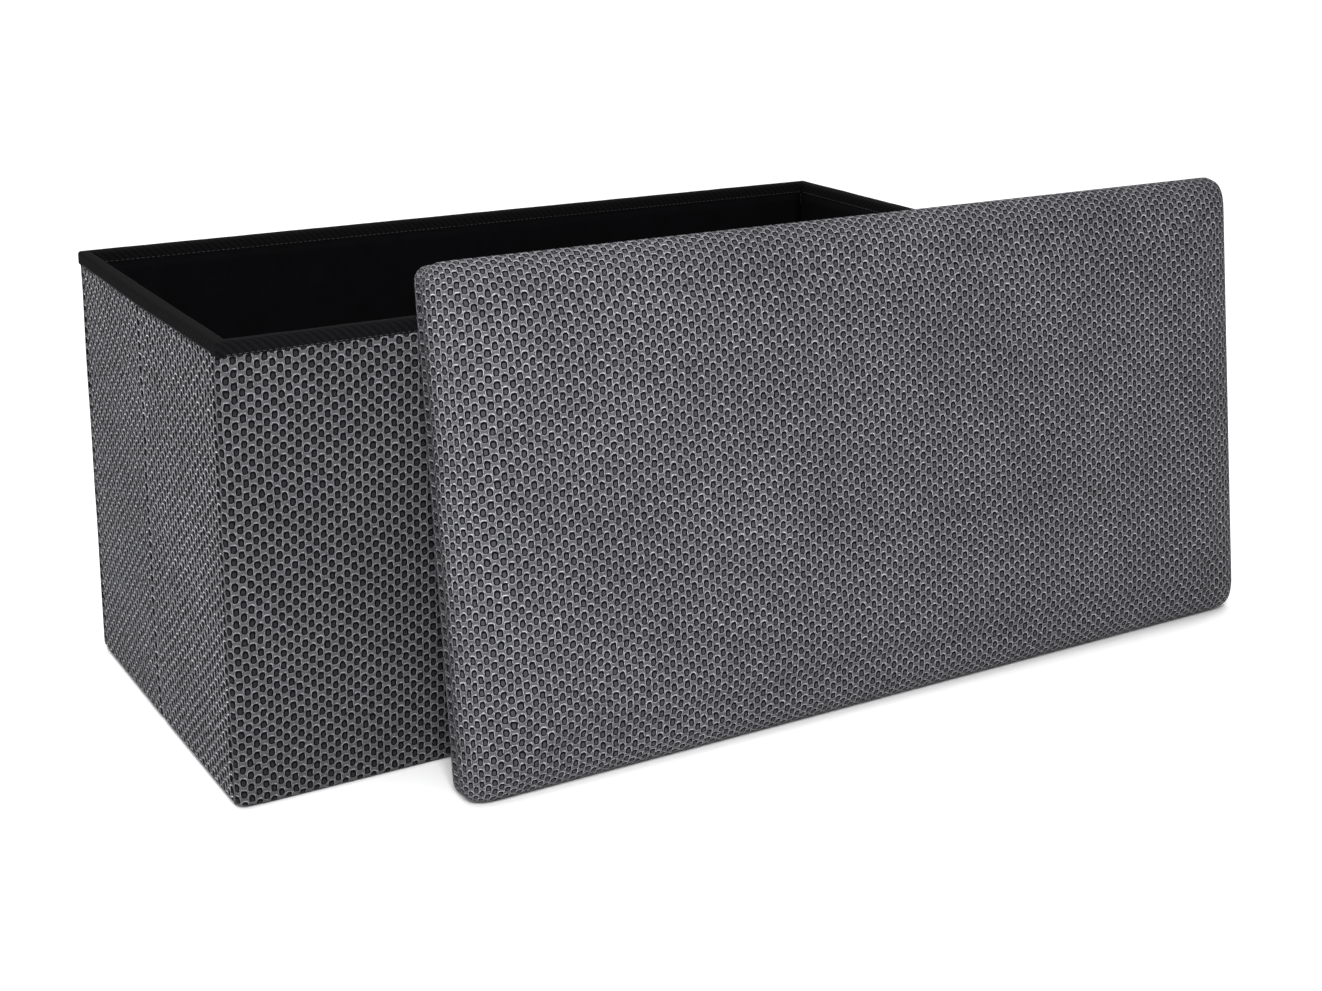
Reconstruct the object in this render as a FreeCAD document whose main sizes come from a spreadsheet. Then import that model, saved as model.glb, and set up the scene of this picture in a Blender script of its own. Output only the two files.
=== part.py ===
import FreeCAD, Part
import Sketcher
import math
import os

# Folding storage bench: a fabric covered box of hinged wall panels, a drop-in base that lifts on a
# tape hinge, and a loose padded lid that leans on the front wall. Millimetres, +Z up, +X along the
# bench, -Y to the front. The origin is the middle of the box's underside.

doc = FreeCAD.newDocument("storage_bench")

# Driving dimensions: alias, value, what it is.
DIMENSIONS = [
    ("box_length", 710, "outside length of the box"),
    ("box_depth", 330, "outside depth of the box"),
    ("box_height", 340, "floor to the top of the rim binding"),
    ("cover_thickness", 2.5, "mesh fabric on the outside of a wall"),
    ("board_thickness", 4.5, "stiff board inside a wall"),
    ("lining_thickness", 2, "non-woven lining on the inside of a wall"),
    ("rim_height", 11.5, "height of the binding that caps a wall"),
    ("rim_cap", 1.5, "binding over the top edge of a board"),
    ("wall_foot", 6.5, "height of the lower edges of the boards"),
    ("fold_gap", 0.25, "half of the slit between the two halves of an end wall"),
    ("corner_gap", 0.5, "slit between an end wall and a long wall"),
    ("sheet_thickness", 0.8, "soft sheet sewn across the underside"),
    ("base_lift", 0.9, "height of the underside of the base panel"),
    ("base_thickness", 4.2, "base panel with its wrapping"),
    ("base_clearance", 2, "slit all round the base panel"),
    ("wrap_thickness", 0.6, "wrapping on each face of the base board"),
    ("tab_width", 25, "ribbon that the base is lifted by"),
    ("tab_length", 55, "length of the ribbon on the base"),
    ("ribbon_thickness", 0.8, "thickness of the ribbon"),
    ("tape_length", 640, "tape hinge along the back of the base"),
    ("tape_leg", 24, "width of each leg of the tape hinge"),
    ("tape_thickness", 0.6, "thickness of the tape"),
    ("lid_length", 760, "outside length of the lid"),
    ("lid_depth", 380, "outside depth of the lid"),
    ("lid_thickness", 40, "underside of the cover to the top of the padding"),
    ("lid_skin", 2.5, "mesh fabric round the lid"),
    ("lid_flange", 1.5, "cover fabric turned under the board"),
    ("lid_turn_under", 30, "width of the turned-under fabric"),
    ("lid_board_thickness", 10, "board under the foam"),
    ("lid_corner_radius", 20, "corners of the lid in plan"),
    ("lid_edge_radius", 15, "padded edge round the top of the lid"),
    ("dust_cover_inset", 12, "lid's edge to the edge of its dust cover"),
    ("dust_cover_thickness", 1, "non-woven dust cover under the lid"),
    ("staple_inset", 17, "lid's edge to a row of staples"),
    ("staple_pitch", 44, "spacing of the staples"),
    ("staple_crown", 10, "length of a staple's crown"),
    ("staple_wire", 0.6, "staple wire, across and high"),
    ("lid_start", -213, "left end of the lid, along the bench"),
    ("lid_tilt", 8.2, "lean of the lid away from upright, in degrees"),
    ("lid_rest_gap", 2, "rim of the front wall to the plane of the lid's underside"),
]

sheet = doc.addObject("Spreadsheet::Sheet", "Dimensions")
for row, (alias, value, meaning) in enumerate(DIMENSIONS, start=1):
    sheet.set(f"A{row}", meaning)
    sheet.set(f"B{row}", str(value))
    sheet.setAlias(f"B{row}", alias)
doc.recompute()


def cell(alias):
    """The expression for one driving dimension."""
    return f"Dimensions.{alias}"


COVER = cell("cover_thickness")
BOARD = cell("board_thickness")
LINING = cell("lining_thickness")
WALL = f"({COVER} + {BOARD} + {LINING})"
HALF_LENGTH = f"{cell('box_length')} / 2"
HALF_DEPTH = f"{cell('box_depth')} / 2"
HEIGHT = cell("box_height")
FOOT = cell("wall_foot")
RIM_UNDERSIDE = f"({HEIGHT} - {cell('rim_height')})"

subparts = []


def keep(shape_object, label):
    """Marks an object as a finished sub-part and names it."""
    shape_object.Label = label
    subparts.append(shape_object)
    return shape_object


def block(label, corner, size):
    """A box from three corner expressions and three size expressions."""
    box = doc.addObject("Part::Box", label)
    for axis, expression in zip("xyz", corner):
        box.setExpression(f"Placement.Base.{axis}", expression)
    for side, expression in zip(("Length", "Width", "Height"), size):
        box.setExpression(side, expression)
    return box


def combine(kind, label, base, tool):
    """A Part::Cut, Part::Common or Part::Fuse of two objects."""
    result = doc.addObject(kind, label)
    result.Base = base
    result.Tool = tool
    return result


def low_side(side, half, near, far):
    """The lower coordinate of a layer between two depths from the outside face on one side."""
    if side < 0:
        return f"-{half} + {near}"
    return f"{half} - ({far})"


# ---------------------------------------------------------------- long walls
# A long wall is one board. The mesh cover wraps its outside and both ends, the lining faces the
# inside, a binding caps the top edge and the cover's soft hem is turned under the board.

def long_wall(name, side):
    """Builds the five layers of the front wall, side -1, or the rear wall, side 1."""
    def depth_corner(near, far):
        return low_side(side, HALF_DEPTH, near, far)

    left_end = f"-{HALF_LENGTH}"
    full_length = cell("box_length")
    board_left = f"-{HALF_LENGTH} + {COVER}"
    board_length = f"{cell('box_length')} - 2 * {COVER}"
    board_near = COVER
    board_far = f"({COVER} + {BOARD})"

    board = block(
        f"{name}_board",
        (board_left, depth_corner(board_near, board_far), FOOT),
        (board_length, BOARD, f"{HEIGHT} - {cell('rim_cap')} - {FOOT}"),
    )
    keep(board, f"{name}_board")

    wrapped = block(
        f"{name}_cover_outside",
        (left_end, depth_corner("0", board_far), FOOT),
        (full_length, f"{COVER} + {BOARD}", f"{RIM_UNDERSIDE} - {FOOT}"),
    )
    filling = block(
        f"{name}_cover_filling",
        (board_left, depth_corner(board_near, board_far), FOOT),
        (board_length, BOARD, f"{RIM_UNDERSIDE} - {FOOT}"),
    )
    keep(combine("Part::Cut", f"{name}_cover", wrapped, filling), f"{name}_cover")

    lining = block(
        f"{name}_lining",
        (left_end, depth_corner(board_far, WALL), FOOT),
        (full_length, LINING, f"{RIM_UNDERSIDE} - {FOOT}"),
    )
    keep(lining, f"{name}_lining")

    binding = block(
        f"{name}_rim_outside",
        (left_end, depth_corner("0", WALL), RIM_UNDERSIDE),
        (full_length, WALL, cell("rim_height")),
    )
    slot = block(
        f"{name}_rim_slot",
        (board_left, depth_corner(board_near, board_far), RIM_UNDERSIDE),
        (board_length, BOARD, f"{cell('rim_height')} - {cell('rim_cap')}"),
    )
    keep(combine("Part::Cut", f"{name}_rim", binding, slot), f"{name}_rim")

    hem = block(
        f"{name}_hem",
        (left_end, depth_corner("0", WALL), "0"),
        (full_length, WALL, FOOT),
    )
    keep(hem, f"{name}_hem")


# ---------------------------------------------------------------- end walls
# Each end wall is two half panels that fold inwards like a book. Their outer faces meet when
# folded, so the slit between them is on the middle of the bench.

def half_wall(name, end, side):
    """Builds the five layers of half an end wall: end -1 left, 1 right; side -1 front, 1 rear."""
    def length_corner(near, far):
        return low_side(end, HALF_LENGTH, near, far)

    panel_width = f"({HALF_DEPTH} - {WALL} - {cell('corner_gap')} - {cell('fold_gap')})"
    if side > 0:
        panel_corner = cell("fold_gap")
    else:
        panel_corner = f"-{cell('fold_gap')} - {panel_width}"
    board_near = COVER
    board_far = f"({COVER} + {BOARD})"

    board = block(
        f"{name}_board",
        (length_corner(board_near, board_far), panel_corner, FOOT),
        (BOARD, panel_width, f"{HEIGHT} - {cell('rim_cap')} - {FOOT}"),
    )
    keep(board, f"{name}_board")

    cover = block(
        f"{name}_cover",
        (length_corner("0", COVER), panel_corner, FOOT),
        (COVER, panel_width, f"{RIM_UNDERSIDE} - {FOOT}"),
    )
    keep(cover, f"{name}_cover")

    lining = block(
        f"{name}_lining",
        (length_corner(board_far, WALL), panel_corner, FOOT),
        (LINING, panel_width, f"{RIM_UNDERSIDE} - {FOOT}"),
    )
    keep(lining, f"{name}_lining")

    binding = block(
        f"{name}_rim_outside",
        (length_corner("0", WALL), panel_corner, RIM_UNDERSIDE),
        (WALL, panel_width, cell("rim_height")),
    )
    slot = block(
        f"{name}_rim_slot",
        (length_corner(board_near, board_far), panel_corner, RIM_UNDERSIDE),
        (BOARD, panel_width, f"{cell('rim_height')} - {cell('rim_cap')}"),
    )
    keep(combine("Part::Cut", f"{name}_rim", binding, slot), f"{name}_rim")

    hem = block(
        f"{name}_hem",
        (length_corner("0", WALL), panel_corner, "0"),
        (WALL, panel_width, FOOT),
    )
    keep(hem, f"{name}_hem")


long_wall("front", -1)
long_wall("rear", 1)
for end_name, end in (("left", -1), ("right", 1)):
    half_wall(f"{end_name}_rear", end, 1)
    half_wall(f"{end_name}_front", end, -1)


# ---------------------------------------------------------------- underside and base
# A thin sheet closes the underside between the hems. The base is a board in a sewn wrapping that
# lies on the sheet inside the walls. It lifts by a ribbon and turns on a tape along its back edge.

INNER_LENGTH = f"({cell('box_length')} - 2 * {WALL})"
INNER_DEPTH = f"({cell('box_depth')} - 2 * {WALL})"
CORNER_GAP = cell("corner_gap")
underside = block(
    "bottom_sheet",
    (f"-{INNER_LENGTH} / 2 + {CORNER_GAP}", f"-{INNER_DEPTH} / 2 + {CORNER_GAP}", "0"),
    (
        f"{INNER_LENGTH} - 2 * {CORNER_GAP}",
        f"{INNER_DEPTH} - 2 * {CORNER_GAP}",
        cell("sheet_thickness"),
    ),
)
keep(underside, "bottom_sheet")

SLIT = cell("base_clearance")
WRAP = cell("wrap_thickness")
BASE_TOP = f"({cell('base_lift')} + {cell('base_thickness')})"
wrap_corner = (
    f"-{INNER_LENGTH} / 2 + {SLIT}",
    f"-{INNER_DEPTH} / 2 + {SLIT}",
    cell("base_lift"),
)
wrap_size = (
    f"{INNER_LENGTH} - 2 * {SLIT}",
    f"{INNER_DEPTH} - 2 * {SLIT}",
    cell("base_thickness"),
)
board_corner = tuple(f"{low} + {WRAP}" for low in wrap_corner)
board_size = tuple(f"{size} - 2 * {WRAP}" for size in wrap_size)

base_board = block("base_board", board_corner, board_size)
keep(base_board, "base_board")
wrap_outside = block("base_wrap_outside", wrap_corner, wrap_size)
wrap_inside = block("base_wrap_inside", board_corner, board_size)
keep(combine("Part::Cut", "base_wrap", wrap_outside, wrap_inside), "base_wrap")

# The ribbon is sewn flat to the top of the base, in the middle of its front edge.
pull_tab = block(
    "base_pull_tab",
    (f"-{cell('tab_width')} / 2", f"-{INNER_DEPTH} / 2 + {SLIT}", BASE_TOP),
    (cell("tab_width"), cell("tab_length"), cell("ribbon_thickness")),
)
keep(pull_tab, "base_pull_tab")

# The tape hinge is an angle: one leg lies on the base and the other stands on the rear lining.
tape_angle = block(
    "base_hinge_tape_outside",
    (f"-{cell('tape_length')} / 2", f"{INNER_DEPTH} / 2 - {cell('tape_leg')}", BASE_TOP),
    (cell("tape_length"), cell("tape_leg"), f"{FOOT} - {BASE_TOP} + {cell('tape_leg')}"),
)
tape_hollow = block(
    "base_hinge_tape_inside",
    (
        f"-{cell('tape_length')} / 2",
        f"{INNER_DEPTH} / 2 - {cell('tape_leg')}",
        f"{BASE_TOP} + {cell('tape_thickness')}",
    ),
    (
        cell("tape_length"),
        f"{cell('tape_leg')} - {cell('tape_thickness')}",
        f"{FOOT} - {BASE_TOP} + {cell('tape_leg')}",
    ),
)
keep(combine("Part::Cut", "base_hinge_tape", tape_angle, tape_hollow), "base_hinge_tape")


# ---------------------------------------------------------------- lid
# The lid is drawn lying on its underside, with a corner of the cover's underside at the origin, and
# then stood up on its long edge and leaned back until it nearly touches the front wall's rim.

def rounded_pad(name, inset, floor_level, height, corner_radius, edge_radius):
    """A PartDesign body: a rectangle padded upwards, its corners and its top edge rounded."""
    body = doc.addObject("PartDesign::Body", name)
    plane = [f for f in body.Origin.OriginFeatures if f.Role == "XY_Plane"][0]
    sketch = body.newObject("Sketcher::SketchObject", f"{name}_outline")
    sketch.AttachmentSupport = [(plane, "")]
    sketch.MapMode = "FlatFace"
    sketch.setExpression("AttachmentOffset.Base.z", floor_level)

    corners = [(10, 10), (90, 10), (90, 50), (10, 50)]
    points = [FreeCAD.Vector(x, y, 0) for x, y in corners]
    for start, end in zip(points, points[1:] + points[:1]):
        sketch.addGeometry(Part.LineSegment(start, end), False)
    for edge in range(4):
        sketch.addConstraint(Sketcher.Constraint("Coincident", edge, 2, (edge + 1) % 4, 1))
    for edge in (0, 2):
        sketch.addConstraint(Sketcher.Constraint("Horizontal", edge))
    for edge in (1, 3):
        sketch.addConstraint(Sketcher.Constraint("Vertical", edge))
    named = (
        ("length", Sketcher.Constraint("DistanceX", 0, 1, 0, 2, 80.0),
         f"{cell('lid_length')} - 2 * {inset}"),
        ("depth", Sketcher.Constraint("DistanceY", 1, 1, 1, 2, 40.0),
         f"{cell('lid_depth')} - 2 * {inset}"),
        ("left", Sketcher.Constraint("DistanceX", -1, 1, 0, 1, 10.0), inset),
        ("front", Sketcher.Constraint("DistanceY", -1, 1, 0, 1, 10.0), inset),
    )
    for label, constraint, expression in named:
        index = sketch.addConstraint(constraint)
        sketch.renameConstraint(index, label)
        sketch.setExpression(f"Constraints.{label}", expression)

    pad = body.newObject("PartDesign::Pad", f"{name}_pad")
    pad.Profile = sketch
    pad.setExpression("Length", height)
    doc.recompute()

    upright = []
    for number, edge in enumerate(pad.Shape.Edges, start=1):
        ends = edge.Vertexes
        if abs(ends[0].Z - ends[1].Z) > 1:
            upright.append(f"Edge{number}")
    corner_round = body.newObject("PartDesign::Fillet", f"{name}_corners")
    corner_round.Base = (pad, upright)
    corner_round.setExpression("Radius", corner_radius)
    doc.recompute()

    top_level = corner_round.Shape.BoundBox.ZMax
    top_edges = []
    for number, edge in enumerate(corner_round.Shape.Edges, start=1):
        if edge.BoundBox.ZMin > top_level - 0.01:
            top_edges.append(f"Edge{number}")
    edge_round = body.newObject("PartDesign::Fillet", f"{name}_edge")
    edge_round.Base = (corner_round, top_edges)
    edge_round.setExpression("Radius", edge_radius)
    body.Tip = edge_round
    doc.recompute()
    return body


SKIN = cell("lid_skin")
FLANGE = cell("lid_flange")
LID_THICKNESS = cell("lid_thickness")
LID_BOARD = cell("lid_board_thickness")
lid_form = rounded_pad(
    "lid_form", "0", "0", LID_THICKNESS,
    cell("lid_corner_radius"), cell("lid_edge_radius"),
)
core_form = rounded_pad(
    "core_form", SKIN, FLANGE, f"{LID_THICKNESS} - {SKIN} - {FLANGE}",
    f"{cell('lid_corner_radius')} - {SKIN}", f"{cell('lid_edge_radius')} - {SKIN}",
)

# The lid's underside plane passes the rim at the rest gap, and the cover's long edge stands on the
# floor, so the foot of the lid lies this far in front of the box.
lean = math.radians(sheet.get("lid_tilt"))
foot_distance = (
    sheet.get("box_height") * math.sin(lean) + sheet.get("lid_rest_gap")
) / math.cos(lean)
lid_standing = FreeCAD.Placement(
    FreeCAD.Vector(sheet.get("lid_start"), -sheet.get("box_depth") / 2 - foot_distance, 0),
    FreeCAD.Rotation(FreeCAD.Vector(1, 0, 0), 90 - sheet.get("lid_tilt")),
)

# Mesh cover: a skin over the padding and the sides, turned under the board with a window left.
hollow_cover = combine("Part::Cut", "lid_cover_hollow", lid_form, core_form)
TURN = f"({SKIN} + {cell('lid_turn_under')})"
window = block(
    "lid_cover_window",
    (TURN, TURN, "-1"),
    (f"{cell('lid_length')} - 2 * {TURN}", f"{cell('lid_depth')} - 2 * {TURN}", f"{FLANGE} + 1"),
)
lid_cover = combine("Part::Cut", "lid_cover", hollow_cover, window)
keep(lid_cover, "lid_cover")

# The core is shared out between the board below and the foam above.
board_half = block(
    "lid_board_space",
    ("0", "0", FLANGE),
    (cell("lid_length"), cell("lid_depth"), LID_BOARD),
)
lid_board = combine("Part::Common", "lid_board", core_form, board_half)
keep(lid_board, "lid_board")
foam_half = block(
    "lid_foam_space",
    ("0", "0", f"{FLANGE} + {LID_BOARD}"),
    (cell("lid_length"), cell("lid_depth"), LID_THICKNESS),
)
lid_foam = combine("Part::Common", "lid_foam", core_form, foam_half)
keep(lid_foam, "lid_foam")

# Dust cover: a sheet over the turned-under fabric that fills the window level with it.
INSET = cell("dust_cover_inset")
DUST = cell("dust_cover_thickness")
dust_sheet = block(
    "lid_lining_sheet",
    (INSET, INSET, f"-{DUST}"),
    (f"{cell('lid_length')} - 2 * {INSET}", f"{cell('lid_depth')} - 2 * {INSET}", DUST),
)
dust_filling = block(
    "lid_lining_filling",
    (TURN, TURN, "0"),
    (f"{cell('lid_length')} - 2 * {TURN}", f"{cell('lid_depth')} - 2 * {TURN}", FLANGE),
)
lid_lining = combine("Part::Fuse", "lid_lining", dust_sheet, dust_filling)
keep(lid_lining, "lid_lining")

# Staples hold the edge of the dust cover. Rows run along all four sides, evenly spaced.
WIRE = cell("staple_wire")
CROWN = cell("staple_crown")
ROW_INSET = cell("staple_inset")
staples = []


def staple_row(along, row_length, far_side):
    """One row of staples: along is 0 for a long side and 1 for a short side."""
    usable = sheet.get(row_length) - 2 * sheet.get("staple_inset") - sheet.get("staple_pitch")
    count = int(usable // sheet.get("staple_pitch")) + 1
    across_length = ("lid_depth", "lid_length")[along]
    for index in range(count):
        middle = (
            f"{cell(row_length)} / 2 + ({index} - {(count - 1) / 2}) * {cell('staple_pitch')}"
            f" - {CROWN} / 2"
        )
        across = ROW_INSET
        if far_side:
            across = f"{cell(across_length)} - {ROW_INSET} - {WIRE}"
        corner = (middle, across, f"-{DUST} - {WIRE}")
        size = (CROWN, WIRE, WIRE)
        if along == 1:
            corner = (across, middle, f"-{DUST} - {WIRE}")
            size = (WIRE, CROWN, WIRE)
        staples.append(block(f"staple_{len(staples) + 1}", corner, size))


for far_side in (False, True):
    staple_row(0, "lid_length", far_side)
    staple_row(1, "lid_depth", far_side)
lid_staples = doc.addObject("Part::Compound", "lid_staples")
lid_staples.Links = staples
keep(lid_staples, "lid_staples")

for piece in (lid_cover, lid_board, lid_foam, lid_lining, lid_staples):
    piece.Placement = lid_standing


# ---------------------------------------------------------------- check and write
doc.recompute()
for item in doc.Objects:
    if "Invalid" in item.State or "Error" in item.State:
        raise RuntimeError(f"{item.Label} failed to compute: {item.State}")
for piece in subparts:
    if piece.Shape.isNull() or not piece.Shape.isValid():
        raise RuntimeError(f"{piece.Label} has no valid shape")

os.makedirs("parts", exist_ok=True)
for piece in subparts:
    piece.Shape.exportStep(f"parts/{piece.Label}.step")
    size = piece.Shape.BoundBox
    print(
        f"{piece.Label:22s} {len(piece.Shape.Solids):3d} solids"
        f"  {size.XLength:7.1f} {size.YLength:7.1f} {size.ZLength:7.1f} mm"
        f"  {piece.Shape.Volume / 1000:9.1f} cm3"
    )
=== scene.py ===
import bpy
import math
import numpy as np
from mathutils import Matrix, Quaternion, Vector, noise


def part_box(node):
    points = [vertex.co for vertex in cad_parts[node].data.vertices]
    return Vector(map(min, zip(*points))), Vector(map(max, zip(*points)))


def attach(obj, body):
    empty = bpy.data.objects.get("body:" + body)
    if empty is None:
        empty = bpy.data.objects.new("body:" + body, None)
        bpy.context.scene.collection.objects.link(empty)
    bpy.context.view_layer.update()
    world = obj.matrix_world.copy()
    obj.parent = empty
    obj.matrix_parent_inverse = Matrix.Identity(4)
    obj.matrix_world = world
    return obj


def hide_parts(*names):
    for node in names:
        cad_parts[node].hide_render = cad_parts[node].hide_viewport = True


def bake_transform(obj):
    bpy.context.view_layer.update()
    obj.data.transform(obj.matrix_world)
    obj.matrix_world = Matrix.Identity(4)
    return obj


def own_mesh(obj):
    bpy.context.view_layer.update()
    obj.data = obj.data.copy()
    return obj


# A folding storage bench: six hinged wall panels in grey mesh fabric with a black lining, a base
# panel that lifts on a tape, and a padded lid that leans on the front wall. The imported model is
# loaded as the frame. Sizes are named in millimetres, and MM turns them into Blender's metres.
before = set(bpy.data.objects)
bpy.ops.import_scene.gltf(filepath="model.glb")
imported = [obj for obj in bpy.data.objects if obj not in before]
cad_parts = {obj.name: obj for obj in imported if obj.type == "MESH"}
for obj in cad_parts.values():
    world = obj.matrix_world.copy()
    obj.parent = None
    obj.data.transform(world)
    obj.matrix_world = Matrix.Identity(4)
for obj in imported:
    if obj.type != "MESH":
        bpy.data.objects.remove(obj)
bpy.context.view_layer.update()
MM = 0.001


# ---------------------------------------------------------------- studio
# A pale floor, a soft light in front on the left, a weaker one behind, a wide one overhead, and
# a surround that is bright behind the bench and dimmer in front of it. These are in metres.

def add(tree, kind, inputs=None, **settings):
    """Adds a shader node, sets its properties and fills its inputs with values or links."""
    made = tree.nodes.new(kind)
    for name, value in settings.items():
        setattr(made, name, value)
    for key, value in (inputs or {}).items():
        if isinstance(value, bpy.types.NodeSocket):
            tree.links.new(value, made.inputs[key])
        else:
            made.inputs[key].default_value = value
    return made


def linear(code):
    """An sRGB hex colour as a linear RGBA tuple."""
    parts = [int(code[i:i + 2], 16) / 255 for i in (0, 2, 4)]
    return tuple(c / 12.92 if c <= 0.04045 else ((c + 0.055) / 1.055) ** 2.4 for c in parts) + (1.0,)


def new_material(name):
    """A material with an empty Principled surface, and its tree and shader."""
    material = bpy.data.materials.new(name)
    material.use_nodes = True
    return material, material.node_tree, material.node_tree.nodes["Principled BSDF"]


scene = bpy.context.scene
scene.view_settings.view_transform = "Standard"

FLOOR_SIZE = 14.0
FLOOR_GAP_MM = 0.3
FLOOR_TINT = (0.95, 0.97)
floor_mesh = bpy.data.meshes.new("studio_floor")
corners = [(-1, -1), (1, -1), (1, 1), (-1, 1)]
floor_level = -FLOOR_GAP_MM * MM
floor_mesh.from_pydata(
    [(x * FLOOR_SIZE / 2, y * FLOOR_SIZE / 2, floor_level) for x, y in corners], [], [(0, 1, 2, 3)]
)
floor = bpy.data.objects.new("studio_floor", floor_mesh)
scene.collection.objects.link(floor)
paper, tree, surface = new_material("studio_paper")
speckle = add(tree, "ShaderNodeTexNoise", {"Scale": 3.0, "Detail": 2.0})
tint = add(tree, "ShaderNodeMapRange",
           {"Value": speckle.outputs[0], "To Min": FLOOR_TINT[0], "To Max": FLOOR_TINT[1]})
grey = add(tree, "ShaderNodeCombineColor", {i: tint.outputs[0] for i in range(3)})
tree.links.new(grey.outputs[0], surface.inputs["Base Color"])
surface.inputs["Roughness"].default_value = 0.9
floor_mesh.materials.append(paper)


def soft_light(name, place, target, size, power):
    """A square area light aimed at a point."""
    data = bpy.data.lights.new(name, "AREA")
    data.size = size
    data.energy = power
    lamp = bpy.data.objects.new(name, data)
    lamp.location = place
    lamp.rotation_euler = (Vector(target) - Vector(place)).to_track_quat("-Z", "Y").to_euler()
    scene.collection.objects.link(lamp)


soft_light("key_light", place=(-0.75, -1.35, 1.25), target=(-0.15, -0.2, 0.3), size=0.6, power=33)
soft_light("back_light", place=(0.4, 2.4, 2.2), target=(0.1, 0.4, 0.0), size=1.6, power=12)

# A wide light straight overhead keeps the floor white and hardly touches the upright faces.
overhead_data = bpy.data.lights.new("overhead_light", "SUN")
overhead_data.energy = 1.2
overhead_data.angle = math.radians(40)
overhead = bpy.data.objects.new("overhead_light", overhead_data)
overhead.location = (0, 0, 2.5)
scene.collection.objects.link(overhead)

SURROUND_IN_FRONT = 0.35
SURROUND_BEHIND = 1.0
SURROUND_TURN = (-0.4, 0.2)
world = bpy.data.worlds.new("studio_surround")
world.use_nodes = True
scene.world = world
sky = world.node_tree
facing = add(sky, "ShaderNodeTexCoord")
parts = add(sky, "ShaderNodeSeparateXYZ", {0: facing.outputs["Generated"]})
glow = add(sky, "ShaderNodeMapRange",
           {"Value": parts.outputs["Y"], "From Min": SURROUND_TURN[0], "From Max": SURROUND_TURN[1],
            "To Min": SURROUND_IN_FRONT, "To Max": SURROUND_BEHIND}, interpolation_type="SMOOTHSTEP")
sky.nodes["Background"].inputs["Color"].default_value = (1, 1, 1, 1)
sky.links.new(glow.outputs[0], sky.nodes["Background"].inputs["Strength"])

# The camera stands to the left of the bench, a little above it, and looks along the long side.
EYE = Vector((-0.7523, -1.3526, 0.6635))
HEADING = math.radians(30.86)
PITCH = math.radians(-14.83)
ROLL = math.radians(0.6)
FOCAL_LENGTH_MM = 52.6
FILM_WIDTH_MM = 36.0
FRAME_SHIFT = (0.0268, -0.1117)
camera_data = bpy.data.cameras.new("camera")
camera_data.lens = FOCAL_LENGTH_MM
camera_data.sensor_width = FILM_WIDTH_MM
camera_data.shift_x, camera_data.shift_y = FRAME_SHIFT
camera = bpy.data.objects.new("camera", camera_data)
scene.collection.objects.link(camera)
camera.location = EYE
forward = Vector((
    math.sin(HEADING) * math.cos(PITCH), math.cos(HEADING) * math.cos(PITCH), math.sin(PITCH),
))
camera.rotation_mode = "QUATERNION"
camera.rotation_quaternion = (
    forward.to_track_quat("-Z", "Y") @ Quaternion((0, 0, 1), ROLL)
)
scene.camera = camera


# ---------------------------------------------------------------- mesh covers of the walls
# Each wall is covered in a polyester air mesh, about 2 mm thick, knitted in staggered columns of
# oval dimples. It is pulled over the board, wraps the ends of the walls and is turned under at
# the foot. The end walls have one cover across both halves, so it folds on the middle line.

COLUMN_PITCH_MM = 5.45
ROW_PITCH_MM = 9.1
DIMPLE_MM = (4.9, 6.3)
TUFT_MM = (2.9, 4.1)
TUFT_DROP_MM = 0.45
YARN_MM = (5.15, 6.7)
# The yarn band is moved up by this much, which puts its painted highlight on the upper edge of each
# hollow.
YARN_HIGHLIGHT_LIFT_MM = 0.3
SQUARENESS = 0.65
NET_EDGE = (0.88, 1.04)
YARN_EDGE = (1.14, 1.0)
TUFT_EDGE = (1.15, 0.6)
DRIFT_MM = 3.0
JITTER_MM = 1.3
BROAD_TONE = (0.9, 1.1)
FIBRE_TONE = (0.8, 1.2)
TUFT_HEIGHT = 0.4
RELIEF_MM = 0.8
FUZZ_MM = 0.2
# The ring grey is painted shade at the edge of each hollow, and the yarn grey is a paler yarn with a
# painted highlight.
WALL_GREYS = {"net": "474749", "yarn_and_highlight": "8e8e92", "ring": "010102", "tuft": "222224"}


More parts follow.
